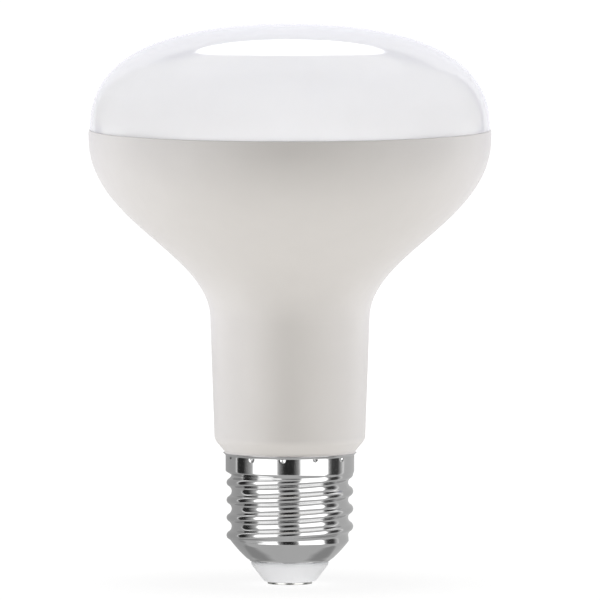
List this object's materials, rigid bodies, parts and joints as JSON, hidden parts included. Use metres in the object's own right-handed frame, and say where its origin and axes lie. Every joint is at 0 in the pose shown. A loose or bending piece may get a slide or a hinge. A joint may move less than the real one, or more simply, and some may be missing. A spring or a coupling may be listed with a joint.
{
  "type": "reflector lamp",
  "caption": "Reflector lamp with an opal dome, a white bell-shaped housing that narrows to a neck, and a threaded metal screw cap with a white insulator.",
  "frame": {"origin": "centre of the end contact's flat face", "axes": "+Z along the lamp's axis, from the end contact up through the dome"},
  "size_m": [0.0828, 0.0828, 0.1152],
  "materials": {
    "opal_diffuser": "gloss",
    "white_housing": "satin",
    "nickel_shell": "polished",
    "white_insulator": "satin",
    "contact_metal": "satin",
    "raw_aluminium": "satin",
    "white_board": "satin",
    "light_source": "gloss",
    "screw_steel": "satin",
    "socket_plastic": "satin",
    "circuit_board": "satin",
    "capacitor_sleeve": "gloss",
    "ferrite": "matte",
    "bobbin_plastic": "satin",
    "winding": "gloss",
    "resistor_coat": "satin",
    "film_case": "satin",
    "varistor_coat": "satin",
    "black_package": "satin",
    "header_plastic": "satin",
    "pin_metal": "polished",
    "red_insulation": "satin",
    "blue_insulation": "satin"
  },
  "bodies": {
    "root": {"diffuser_dome": "opal_diffuser", "housing": "white_housing", "screw_cap": "nickel_shell", "cap_insulator": "white_insulator", "centre_contact": "contact_metal", "heat_spreader": "raw_aluminium", "led_board": "white_board", "led_chip_01": "light_source", "led_chip_02": "light_source", "led_chip_03": "light_source", "led_chip_04": "light_source", "led_chip_05": "light_source", "led_chip_06": "light_source", "led_chip_07": "light_source", "led_chip_08": "light_source", "led_chip_09": "light_source", "led_chip_10": "light_source", "led_chip_11": "light_source", "led_chip_12": "light_source", "led_chip_13": "light_source", "led_chip_14": "light_source", "led_chip_15": "light_source", "led_chip_16": "light_source", "led_chip_17": "light_source", "led_chip_18": "light_source", "board_screws": "screw_steel", "led_socket": "socket_plastic", "driver_board": "circuit_board", "input_capacitor": "capacitor_sleeve", "output_capacitor": "capacitor_sleeve", "transformer_core_upper": "ferrite", "transformer_core_lower": "ferrite", "filter_inductor": "ferrite", "transformer_bobbin": "bobbin_plastic", "transformer_winding": "winding", "fusible_resistor": "resistor_coat", "film_capacitor": "film_case", "varistor": "varistor_coat", "bridge_rectifier": "black_package", "driver_ic": "black_package", "output_diode": "black_package", "chip_resistors": "black_package", "pin_header": "header_plastic", "header_pins": "pin_metal", "live_wire": "red_insulation", "neutral_wire": "blue_insulation"}
  },
  "joints": []
}
